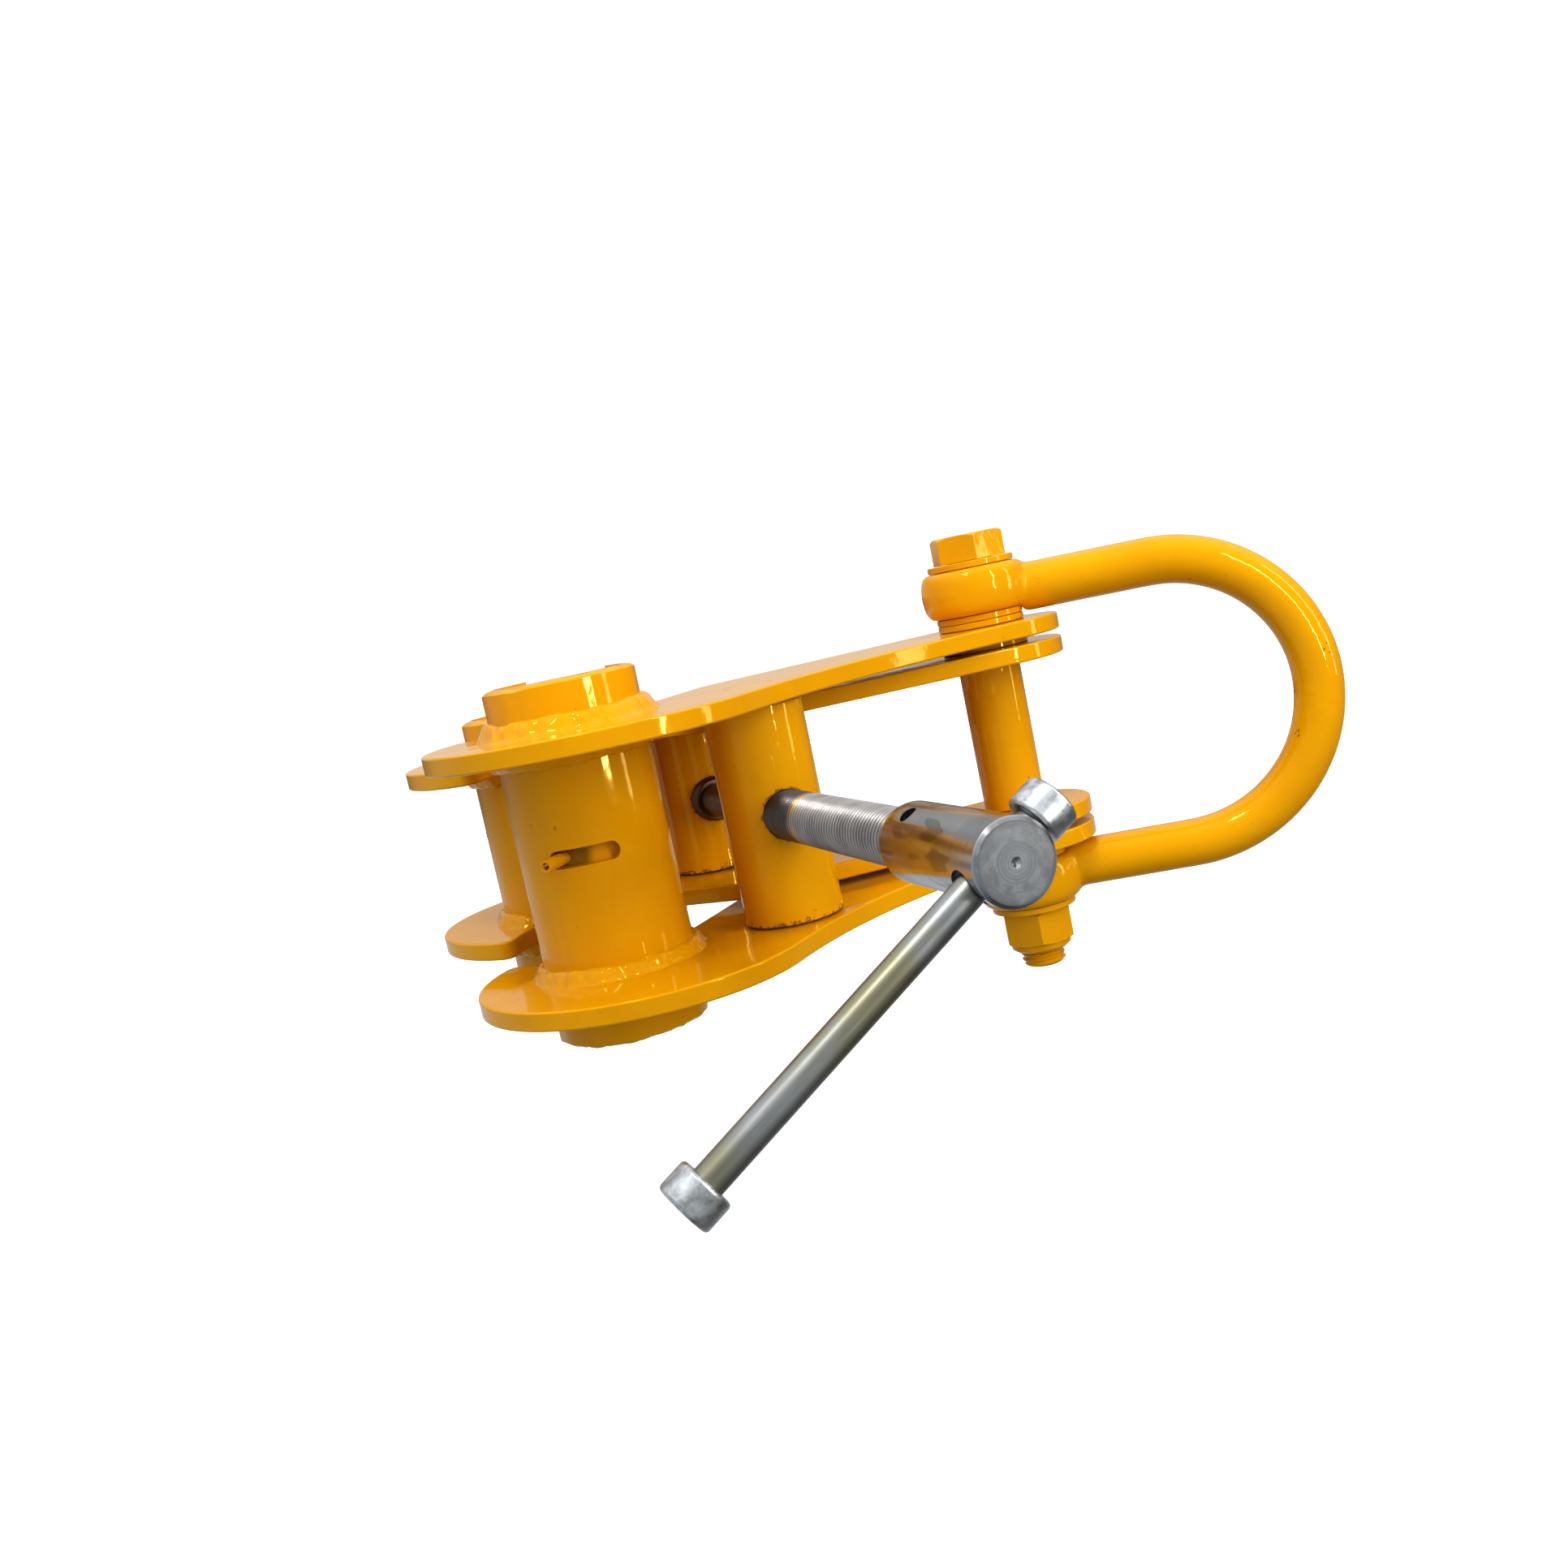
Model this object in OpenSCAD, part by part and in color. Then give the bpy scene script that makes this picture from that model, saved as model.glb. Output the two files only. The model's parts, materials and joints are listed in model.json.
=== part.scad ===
// Beam clamp: two tong arms on one bolt, a screw that spreads or closes them,
// and a shackle to hang the load from.
// Millimetres, +Z up. The jaws are at the top and the shackle hangs below.
// X runs along the screw, with the screw's head at +X.
// Y runs along the pivot bolt, with the bolt's head at +Y.
// The origin is half-way between the two jaw centres.

/* [Arms] */
// Height of the jaw centres above the pivot bolt
jaw_rise = 204; // [150:1:260]
// Distance from the middle plane to each jaw centre
jaw_reach = 43.6; // [40:0.1:70]
// Height of the cross barrels above the pivot bolt
barrel_rise = 132.2; // [100:0.1:170]
// Distance from the middle plane to each cross barrel
barrel_reach = 52.1; // [45:0.1:80]
// Thickness of the arm plates
plate_t = 7.5; // [5:0.5:12]
// Distance from the middle to the inner face of the front arm's plates
front_half = 44; // [38:0.5:60]
// Washer thickness between the front and back arm's plates
plate_gap = 3; // [2:0.5:5]
// Radius of the plates' pivot end
pivot_end_r = 34.3; // [28:0.1:45]
// Radius of the plates' jaw end
head_r = 67.5; // [55:0.5:85]
// Radius of the hollow curve between the two ends
waist_r = 220; // [150:5:300]
// Radius of the mouth cut in the plates
mouth_r = 44.5; // [30:0.5:50]

/* [Jaws] */
// Outside diameter of the jaw tubes
tube_d = 60.3; // [48:0.1:76]
// Wall of the jaw tubes
tube_wall = 5.1; // [4:0.1:8]
// How far the front tube stands out past its plates
front_stub = 19; // [10:0.5:30]
// How far the back tube stands out past its plates
back_stub = 16.5; // [10:0.5:30]
// Half of the angle that the tube's mouth opens through
mouth_half_angle = 40; // [30:1:50]
// Direction of the tube's mouth, below the level line
mouth_tilt = 20; // [0:1:30]
// Turn of the jaw bar from level at rest
jaw_turn = 40; // [0:1:40]
// Width of the groove for the beam's flange, at its floor
groove_w = 16; // [10:1:24]
// Distance from the jaw centre to the groove's floor
groove_floor = 13; // [8:0.5:18]
// Height of the stop pin's slot
slot_w = 7; // [6:0.5:10]
// Diameter of the stop pin
stop_pin_d = 5; // [4:0.5:6]

/* [Screw] */
// Thread diameter
thread_d = 20; // [16:1:27]
// Distance from the middle plane to where each thread begins
thread_start = 27; // [20:1:40]
// Distance from the middle plane to the far end of the screw
screw_far = 142; // [110:1:180]
// Diameter of the plain shank between the threads
shank_d = 15; // [12:0.5:17]
// Distance from the middle plane to the near end of the head
head_start = 187; // [150:1:220]
// Length of the head
head_len = 71.6; // [50:0.1:90]
// Diameter of the head
head_d = 26; // [22:1:34]
// Diameter of the cross barrels that carry the screw
barrel_d = 40.2; // [34:0.2:50]
// Diameter of the barrels' end journals
journal_d = 19; // [14:0.5:24]
// Diameter of the cross pin in the head
head_pin_d = 6; // [4:0.5:8]

/* [Tommy bar] */
// Diameter of the bar
bar_d = 10; // [8:0.5:14]
// Distance from the head's end face to the bar
bar_setback = 10.6; // [8:0.1:20]
// Length of bar beyond the head on its long side
bar_long = 127.6; // [80:0.1:180]
// Length of bar beyond the head on its short side
bar_short = 24; // [20:0.1:40]
// Diameter of the end caps
cap_d = 17.5; // [14:0.5:24]
// Length of the end caps
cap_len = 10; // [6:0.5:15]
// Angle of the bar from upright, at rest
bar_angle = 32; // [0:1:90]

/* [Pivot bolt] */
// Bolt diameter
bolt_d = 20; // [16:1:24]
// Bolt head and nut, across the flats
flats = 30; // [24:1:36]
// Height of the bolt's head
bolt_head_h = 12; // [10:0.5:15]
// Height of the nut with its locking collar
nut_h = 20; // [16:0.5:25]
// Outside diameter of the washers
washer_d = 39; // [34:0.5:44]
// Thickness of the washers
washer_t = 2.9; // [2:0.1:4]
// Outside diameter of the spacer tube
spacer_d = 28; // [24:0.5:34]

/* [Shackle] */
// Diameter of the shackle's rod
rod_d = 22; // [16:0.5:28]
// Outside diameter of the shackle's eyes
eye_d = 49; // [40:0.5:60]
// Width of each eye along the bolt
eye_w = 21; // [16:0.5:28]
// Distance from the middle to each leg's centre line
leg_half = 65; // [60:0.5:80]
// Distance from the bolt to the centre of the bow's curve
leg_len = 77; // [50:0.5:100]
// Swing of the shackle from hanging straight down, at rest
shackle_swing = 27; // [0:1:90]

/* [Hidden] */
$fn = 96;

yellow = [0.93, 0.62, 0.02];
steel = [0.62, 0.62, 0.60];
zinc = [0.74, 0.75, 0.72];
dark_steel = [0.33, 0.31, 0.29];

play = 0.08;
back_half = front_half - plate_gap - plate_t;
front_face = front_half + plate_t;
back_face = back_half + plate_t;
tube_r = tube_d / 2;
bore_r = tube_r - tube_wall;
bar_r = bore_r - play;
eye_start = front_face + 2 * washer_t + 0.3;
eye_end = eye_start + eye_w;
under_head = eye_end + washer_t + 0.2;
bolt_end = under_head + nut_h + 7.3;
tommy_x = head_start + head_len - bar_setback;
core_r = 5;
head_pin_x = head_start + 17.8;
head_pin_angle = 60.7;
bolt_head_turn = 14.6;
nut_turn = 24.2;
weld_out = 7.3;
weld_in = 6;

// Plate outline: centres of its curves, seen along +Y with X to the right and Z up.
head_c = [jaw_reach + 4.4, jaw_rise - 10];
mouth_c = [-14, jaw_rise - 8];
nose_c = [-2, 124];
nose_r = 16;
lip_r = 5;

function angle_of(v) = atan2(v[1], v[0]);

// The point at distance a from p and b from q, on the right of the way from p to q when side is 1.
function meet(p, a, q, b, side) =
    let (
        d = norm(q - p),
        u = (q - p) / d,
        t = (a * a - b * b + d * d) / (2 * d),
        h = sqrt(a * a - t * t)
    )
    p + t * u + side * h * [u[1], -u[0]];

function arc(c, r, from, to, n) =
    [for (i = [0 : n]) let (a = from + (to - from) * i / n) c + r * [cos(a), sin(a)]];

waist_c = meet([0, 0], pivot_end_r + waist_r, head_c, head_r + waist_r, 1);
lip_c = meet(mouth_c, mouth_r + lip_r, head_c, head_r - lip_r, -1);
neck_a = angle_of(nose_c) + acos((pivot_end_r - nose_r) / norm(nose_c));
nose_a = angle_of(mouth_c - nose_c) + acos((nose_r + mouth_r) / norm(mouth_c - nose_c));

plate_outline = concat(
    arc([0, 0], pivot_end_r, angle_of(waist_c), neck_a - 360, 40),
    arc(nose_c, nose_r, neck_a, nose_a, 8),
    arc(mouth_c, mouth_r, nose_a - 180, angle_of(lip_c - mouth_c), 32),
    arc(lip_c, lip_r, angle_of(lip_c - mouth_c) + 180, angle_of(lip_c - head_c), 12),
    arc(head_c, head_r, angle_of(lip_c - head_c), angle_of(waist_c - head_c), 56),
    arc(waist_c, waist_r, angle_of(waist_c - head_c) + 180, angle_of(waist_c) + 180, 20)
);

// Draws a shape given from the pivot bolt's centre.
module placed() {
    translate([0, 0, -jaw_rise])
        children();
}

// Turns a shape built along Z so that it runs along +Y from the given height.
module along_y(y) {
    translate([0, y, 0])
        rotate([-90, 0, 0])
            children();
}

// Stands an X-Z outline up, with its thickness along Y from the given height.
module plate_solid(outline, y, t) {
    translate([0, y + t, 0])
        rotate([90, 0, 0])
            linear_extrude(height = t)
                polygon(outline);
}

module ring(r_out, r_in, y, t) {
    along_y(y)
        difference() {
            cylinder(r = r_out, h = t);
            translate([0, 0, -1])
                cylinder(r = r_in, h = t + 2);
        }
}

module washer(y) {
    ring(washer_d / 2, bolt_d / 2 + 0.5, y, washer_t);
}

// A hexagon with its corners turned off, one side or both.
module hexagon(h, both_ends) {
    corner_r = flats / sqrt(3);
    cut = 1.3;
    intersection() {
        cylinder(r = corner_r, h = h, $fn = 6);
        rotate_extrude()
            polygon([
                [0, 0],
                [both_ends ? corner_r - 2 * cut : corner_r, 0],
                [corner_r, both_ends ? cut : 0],
                [corner_r, h - cut],
                [corner_r - 2 * cut, h],
                [0, h]
            ]);
    }
}

module arm_plate(y) {
    difference() {
        plate_solid(plate_outline, y, plate_t);
        along_y(y - 1)
            cylinder(r = bolt_d / 2 + play, h = plate_t + 2);
        translate([barrel_reach, 0, barrel_rise])
            along_y(y - 1)
                cylinder(r = journal_d / 2 + play, h = plate_t + 2);
        translate([jaw_reach, 0, jaw_rise])
            along_y(y - 1)
                cylinder(r = tube_r + 0.02, h = plate_t + 2);
    }
}

// A wedge from the jaw centre that covers the tube's mouth.
module mouth_wedge(half_len) {
    middle = 180 + mouth_tilt;
    far = tube_d;
    plate_solid(
        concat([[0, 0]], arc([0, 0], far, middle - mouth_half_angle, middle + mouth_half_angle, 4)),
        -half_len,
        2 * half_len
    );
}

module jaw_tube(half_len) {
    slot_from = 0;
    slot_to = 40;
    slot_y = 4;
    difference() {
        along_y(-half_len)
            rotate_extrude()
                polygon([
                    [bore_r, 0],
                    [tube_r - 1.5, 0],
                    [tube_r, 1.5],
                    [tube_r, 2 * half_len - 1.5],
                    [tube_r - 1.5, 2 * half_len],
                    [bore_r, 2 * half_len]
                ]);
        difference() {
            mouth_wedge(half_len + 1);
            along_y(-half_len - 2)
                cylinder(r = bore_r / 2, h = 2 * half_len + 4);
        }
        for (a = [slot_from, slot_to])
            rotate([0, -a, 0])
                translate([0, slot_y, 0])
                    rotate([0, 90, 0])
                        cylinder(d = slot_w, h = tube_d);
        intersection() {
            plate_solid(
                concat([[0, 0]], arc([0, 0], tube_d, slot_from, slot_to, 4)),
                slot_y - slot_w / 2,
                slot_w
            );
            along_y(-slot_w)
                cylinder(r = tube_r + 1, h = 3 * slot_w);
        }
    }
}

// A weld bead round the tube, on the plate's face at y.
// It stops at the plate's edge and at the tube's mouth.
module weld_bead(y, leg, up) {
    swell = leg * 0.62;
    difference() {
        intersection() {
            translate([jaw_reach, y, jaw_rise])
                mirror([0, up > 0 ? 0 : 1, 0])
                    along_y(0)
                        rotate_extrude()
                            polygon([
                                [tube_r + 0.03, 0],
                                [tube_r + leg, 0],
                                [tube_r + leg * 0.93, leg * 0.3],
                                [tube_r + swell, swell],
                                [tube_r + leg * 0.3, leg * 0.93],
                                [tube_r + 0.03, leg]
                            ]);
            plate_solid(plate_outline, y - 2 * leg, 4 * leg);
        }
        translate([jaw_reach, 0, jaw_rise])
            mouth_wedge(front_face + front_stub);
    }
}

module welds(faces, leg, up) {
    for (y = faces)
        weld_bead(y, leg, y * up);
}

// Round bar with a flared groove along it. The groove points along -X before the bar is turned.
module jaw_bar(half_len) {
    rotate([0, -jaw_turn, 0])
        difference() {
            along_y(-half_len)
                cylinder(r = bar_r, h = 2 * half_len);
            plate_solid(
                [
                    [-groove_floor, groove_w / 2 - 3],
                    [-groove_floor - 3, groove_w / 2],
                    [-tube_d, groove_w / 2 + 12],
                    [-tube_d, -groove_w / 2 - 12],
                    [-groove_floor - 3, -groove_w / 2],
                    [-groove_floor, -groove_w / 2 + 3]
                ],
                -half_len - 1,
                2 * half_len + 2
            );
            translate([10, 4, 0])
                rotate([0, 90, 0])
                    cylinder(d = stop_pin_d + 0.04, h = tube_d);
        }
}

// Rolled spring pin with its slit.
module stop_pin() {
    from = 11;
    to = 39.5;
    rotate([0, -jaw_turn, 0])
        translate([from, 4, 0])
            rotate([0, 90, 0])
                difference() {
                    cylinder(d = stop_pin_d, h = to - from);
                    translate([0, 0, -1])
                        cylinder(d = stop_pin_d - 2.2, h = to - from + 2);
                    translate([-stop_pin_d, -0.4, -1])
                        cube([stop_pin_d, 0.8, to - from + 2]);
                }
}

module cross_barrel(half_len, face) {
    shoulder = half_len - 0.4;
    difference() {
        along_y(-face)
            rotate_extrude()
                polygon([
                    [0, 0],
                    [journal_d / 2 - 0.6, 0],
                    [journal_d / 2, 0.6],
                    [journal_d / 2, face - shoulder],
                    [barrel_d / 2 - 0.8, face - shoulder],
                    [barrel_d / 2, face - shoulder + 0.8],
                    [barrel_d / 2, face + shoulder - 0.8],
                    [barrel_d / 2 - 0.8, face + shoulder],
                    [journal_d / 2, face + shoulder],
                    [journal_d / 2, 2 * face - 0.6],
                    [journal_d / 2 - 0.6, 2 * face],
                    [0, 2 * face]
                ]);
        translate([-barrel_d, 0, 0])
            rotate([0, 90, 0])
                cylinder(r = thread_d / 2 + play, h = 2 * barrel_d);
    }
}

// A rod or sleeve round the screw's axis, from x0, given as [distance, radius] points.
module turned(x0, profile) {
    translate([x0, 0, barrel_rise])
        rotate([0, 90, 0])
            rotate_extrude()
                polygon([for (p = profile) [p[1], p[0]]]);
}

module thread_sleeve(x0, len) {
    turned(x0, [
        [0, core_r + play],
        [0, thread_d / 2 - 1.5],
        [1.5, thread_d / 2],
        [len - 1.5, thread_d / 2],
        [len, thread_d / 2 - 1.5],
        [len, core_r + play]
    ]);
}

// Moves to the cross pin's centre, with the pin along +Z of the moved frame.
module at_head_pin() {
    translate([head_pin_x, 0, barrel_rise])
        rotate([-head_pin_angle, 0, 0])
            children();
}

// Moves to the tommy bar's centre, with the bar's long side along +Z of the moved frame.
module at_tommy_bar() {
    translate([tommy_x, 0, barrel_rise])
        rotate([bar_angle, 0, 0])
            children();
}

module tommy_cap(z) {
    difference() {
        translate([0, 0, z])
            rotate_extrude()
                polygon([
                    [0, 0],
                    [cap_d / 2 - 0.8, 0],
                    [cap_d / 2, 0.8],
                    [cap_d / 2, cap_len - 0.8],
                    [cap_d / 2 - 0.8, cap_len],
                    [0, cap_len]
                ]);
        translate([0, 0, -bar_short + 2])
            cylinder(d = bar_d + 0.04, h = bar_long + bar_short - 4);
    }
}

module pivot_bolt() {
    color(yellow) placed() {
        along_y(under_head)
            rotate([0, 0, -bolt_head_turn])
                hexagon(bolt_head_h, false);
        along_y(-bolt_end)
            rotate_extrude()
                polygon([
                    [0, 0],
                    [bolt_d / 2 - 1.6, 0],
                    [bolt_d / 2, 1.6],
                    [bolt_d / 2, bolt_end + under_head],
                    [0, bolt_end + under_head]
                ]);
    }
}

module pivot_nut() {
    color(yellow) placed()
        mirror([0, 1, 0])
            along_y(under_head)
                difference() {
                    union() {
                        rotate([0, 0, -nut_turn])
                            hexagon(nut_h - 4, true);
                        rotate_extrude()
                            polygon([
                                [0, nut_h - 5],
                                [flats / 2 - 0.8, nut_h - 5],
                                [flats / 2 - 1.2, nut_h - 1.5],
                                [flats / 2 - 3, nut_h],
                                [0, nut_h]
                            ]);
                    }
                    translate([0, 0, -1])
                        cylinder(r = bolt_d / 2 + 0.05, h = nut_h + 2);
                }
}

module bolt_washers() {
    color(yellow) placed() {
        washer(eye_end + 0.1);
        washer(-eye_end - 0.1 - washer_t);
    }
}

module eye_washers() {
    color(yellow) placed() {
        for (y = [front_face + 0.1, front_face + washer_t + 0.2]) {
            washer(y);
            washer(-y - washer_t);
        }
    }
}

module plate_washers() {
    color(yellow) placed() {
        washer(back_face + 0.05);
        washer(-back_face - 0.05 - washer_t);
    }
}

module spacer_tube() {
    color(yellow) placed()
        ring(spacer_d / 2, bolt_d / 2 + 0.5, 0.3 - back_half, 2 * back_half - 0.6);
}

module shackle_bow() {
    bulge = 1.5;
    color(yellow) placed()
        rotate([0, -shackle_swing, 0])
            difference() {
                union() {
                    for (side = [-1, 1]) {
                        along_y(side > 0 ? eye_start : -eye_end)
                            rotate_extrude()
                                polygon([
                                    [0, 0],
                                    [eye_d / 2 - 3.5, 0],
                                    [eye_d / 2 - bulge, 2],
                                    [eye_d / 2 - bulge / 3, eye_w / 4],
                                    [eye_d / 2, eye_w / 2],
                                    [eye_d / 2 - bulge / 3, 3 * eye_w / 4],
                                    [eye_d / 2 - bulge, eye_w - 2],
                                    [eye_d / 2 - 3.5, eye_w],
                                    [0, eye_w]
                                ]);
                        translate([0, side * leg_half, -leg_len])
                            cylinder(d = rod_d, h = leg_len - 16);
                    }
                    translate([0, 0, -leg_len])
                        rotate([0, 0, 90])
                            rotate([-90, 0, 0])
                                rotate_extrude(angle = 180)
                                    translate([leg_half, 0])
                                        circle(d = rod_d, $fn = 48);
                }
                along_y(-bolt_end)
                    cylinder(r = bolt_d / 2 + play, h = 2 * bolt_end);
                along_y(-eye_start)
                    cylinder(d = washer_d + 1.4, h = 2 * eye_start);
            }
}

module front_plate_top() {
    color(yellow) placed()
        arm_plate(front_half);
}

module front_plate_bottom() {
    color(yellow) placed()
        arm_plate(-front_face);
}

module front_tube() {
    color(yellow) placed()
        translate([jaw_reach, 0, jaw_rise])
            jaw_tube(front_face + front_stub);
}

module front_outer_welds() {
    color(yellow) placed()
        welds([-front_face, front_face], weld_out, 1);
}

module front_inner_welds() {
    color(yellow) placed()
        welds([-front_half, front_half], weld_in, -1);
}

module front_jaw_bar() {
    color(yellow) placed()
        translate([jaw_reach, 0, jaw_rise])
            jaw_bar(front_face + front_stub - 1);
}

module front_stop_pin() {
    color(yellow) placed()
        translate([jaw_reach, 0, jaw_rise])
            stop_pin();
}

module front_barrel() {
    color(yellow) placed()
        translate([barrel_reach, 0, barrel_rise])
            cross_barrel(front_half, front_face);
}

module back_plate_top() {
    color(yellow) placed()
        mirror([1, 0, 0])
            arm_plate(back_half);
}

module back_plate_bottom() {
    color(yellow) placed()
        mirror([1, 0, 0])
            arm_plate(-back_face);
}

module back_tube() {
    color(yellow) placed()
        mirror([1, 0, 0])
            translate([jaw_reach, 0, jaw_rise])
                jaw_tube(back_face + back_stub);
}

module back_outer_welds() {
    color(yellow) placed()
        mirror([1, 0, 0])
            welds([-back_face, back_face], weld_out, 1);
}

module back_inner_welds() {
    color(yellow) placed()
        mirror([1, 0, 0])
            welds([-back_half, back_half], weld_in, -1);
}

module back_jaw_bar() {
    color(yellow) placed()
        mirror([1, 0, 0])
            translate([jaw_reach, 0, jaw_rise])
                jaw_bar(back_face + back_stub - 1);
}

module back_stop_pin() {
    color(yellow) placed()
        mirror([1, 0, 0])
            translate([jaw_reach, 0, jaw_rise])
                stop_pin();
}

module back_barrel() {
    color(yellow) placed()
        translate([-barrel_reach, 0, barrel_rise])
            cross_barrel(back_half, back_face);
}

module screw_core() {
    core_from = -screw_far + 2;
    core_to = head_start + 9;
    start = -core_from - thread_start;
    end = start + 2 * thread_start;
    color(dark_steel) placed()
        turned(core_from, [
            [0, 0],
            [0, core_r],
            [start + 0.3, core_r],
            [start + 0.3, shank_d / 2],
            [end - 0.3, shank_d / 2],
            [end - 0.3, core_r],
            [core_to - core_from, core_r],
            [core_to - core_from, 0]
        ]);
}

module screw_near_thread() {
    socket = 28;
    overlap = 10;
    color(dark_steel) placed()
        difference() {
            union() {
                thread_sleeve(thread_start, head_start - thread_start + overlap);
                turned(head_start + overlap, [
                    [0, 0],
                    [0, thread_d / 2 - 1.5],
                    [socket - overlap, thread_d / 2 - 1.5],
                    [socket - overlap, 0]
                ]);
            }
            at_head_pin()
                cylinder(d = head_pin_d + 0.05, h = 2 * head_d, center = true);
        }
}

module screw_far_thread() {
    color(dark_steel) placed()
        thread_sleeve(-screw_far, screw_far - thread_start);
}

module screw_head() {
    face_lip = 1.2;
    color(steel) placed()
        difference() {
            turned(head_start, [
                [0, 0],
                [0, thread_d / 2 + 0.4],
                [2.5, head_d / 2 - 1.2],
                [7, head_d / 2],
                [head_len - face_lip, head_d / 2],
                [head_len, head_d / 2 - face_lip],
                [head_len, 1.6],
                [head_len - 1.6, 0]
            ]);
            turned(head_start - 1, [
                [0, 0],
                [0, thread_d / 2 + 0.04],
                [30, thread_d / 2 + 0.04],
                [30, 0]
            ]);
            at_head_pin()
                cylinder(d = head_pin_d + 0.05, h = 2 * head_d, center = true);
            at_tommy_bar() {
                cylinder(r = bar_d / 2 + play, h = 2 * head_d, center = true);
                for (side = [0, 1])
                    mirror([0, 0, side])
                        translate([0, 0, head_d / 2 - 4])
                            cylinder(r = bar_d / 2 + 2, h = head_d);
            }
        }
}

module head_pin() {
    color(dark_steel) placed()
        at_head_pin()
            cylinder(d = head_pin_d, h = head_d - 7, center = true);
}

module tommy_bar() {
    color(zinc) placed()
        at_tommy_bar()
            translate([0, 0, 2.1 - bar_short])
                cylinder(d = bar_d, h = bar_long + bar_short - 4.2);
}

module tommy_near_cap() {
    color(zinc) placed()
        at_tommy_bar()
            tommy_cap(-bar_short);
}

module tommy_far_cap() {
    color(zinc) placed()
        at_tommy_bar()
            tommy_cap(bar_long - cap_len);
}

pivot_bolt();
pivot_nut();
bolt_washers();
eye_washers();
plate_washers();
spacer_tube();
shackle_bow();
front_plate_top();
front_plate_bottom();
front_tube();
front_outer_welds();
front_inner_welds();
front_jaw_bar();
front_stop_pin();
front_barrel();
back_plate_top();
back_plate_bottom();
back_tube();
back_outer_welds();
back_inner_welds();
back_jaw_bar();
back_stop_pin();
back_barrel();
screw_core();
screw_near_thread();
screw_far_thread();
screw_head();
head_pin();
tommy_bar();
tommy_near_cap();
tommy_far_cap();
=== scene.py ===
"""Beam clamp: puts painted plates, weld beads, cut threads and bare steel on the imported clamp.

It also sets the floor, the studio lights and the camera.
"""

import json
import math

import bmesh
import bpy
from mathutils import Matrix, Vector, noise


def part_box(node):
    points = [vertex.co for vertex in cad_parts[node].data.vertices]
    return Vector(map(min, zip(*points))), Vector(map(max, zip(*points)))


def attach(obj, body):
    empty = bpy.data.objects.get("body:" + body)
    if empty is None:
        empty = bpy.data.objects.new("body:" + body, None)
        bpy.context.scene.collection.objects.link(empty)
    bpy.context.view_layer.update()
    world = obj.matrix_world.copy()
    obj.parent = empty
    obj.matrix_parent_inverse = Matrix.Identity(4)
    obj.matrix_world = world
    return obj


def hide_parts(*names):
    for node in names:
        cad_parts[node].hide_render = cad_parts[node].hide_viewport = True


bl_info = {
    "name": "Beam clamp looks",
    "version": (1, 0, 0),
    "blender": (4, 5, 0),
    "location": "3D View > Sidebar > Beam clamp",
    "description": "Builds the visible pieces of a screw-adjusted beam clamp round its packed frame",
    "category": "Object",
}

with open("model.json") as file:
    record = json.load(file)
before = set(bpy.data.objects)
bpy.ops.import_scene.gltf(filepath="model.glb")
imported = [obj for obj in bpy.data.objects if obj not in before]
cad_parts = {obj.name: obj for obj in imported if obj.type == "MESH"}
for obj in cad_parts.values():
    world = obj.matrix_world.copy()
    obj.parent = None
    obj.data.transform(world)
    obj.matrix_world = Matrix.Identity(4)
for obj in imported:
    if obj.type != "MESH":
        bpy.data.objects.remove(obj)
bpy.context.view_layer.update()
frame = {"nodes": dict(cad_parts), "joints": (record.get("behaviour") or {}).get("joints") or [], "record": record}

NODES = frame["nodes"]
BODY_OF = {n: body for body, nodes in frame["record"]["behaviour"]["bodies"].items() for n in nodes}
JOINTS = {j["name"]: j for j in frame["joints"]}
MM = 0.001


def joint_place(name):
    """Where a joint's axis is, in the row frame."""
    return Vector(JOINTS[name]["pos_m"])


PIVOT = joint_place("front_arm_swing")
FRONT_JAW = joint_place("front_jaw_swivel")
BACK_JAW = joint_place("back_jaw_swivel")
SCREW_Z = joint_place("screw_turn").z


def radius_of(node):
    """Radius of a round node on the screw's axis."""
    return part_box(node)[1].z - SCREW_Z


# ---------------------------------------------------------------- settings


class ClampSizes(bpy.types.PropertyGroup):
    """Sizes of the details that are finer than the frame."""

    plate_round: bpy.props.FloatProperty(
        name="Plate edge", description="Rounding of the plates' edges",
        default=0.9 * MM, unit="LENGTH")
    small_round: bpy.props.FloatProperty(
        name="Small edge", description="Rounding of washers, nut and bolt head",
        default=0.5 * MM, unit="LENGTH")
    pitch: bpy.props.FloatProperty(
        name="Thread pitch", description="Pitch of the screw's and bolt's threads",
        default=2.5 * MM, unit="LENGTH")
    thread_depth: bpy.props.FloatProperty(
        name="Thread depth", description="Depth of the screw's thread",
        default=0.9 * MM, unit="LENGTH")
    weld_ripple: bpy.props.FloatProperty(
        name="Weld ripple", description="Height of the ripples on the weld beads",
        default=0.12 * MM, unit="LENGTH")


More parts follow.
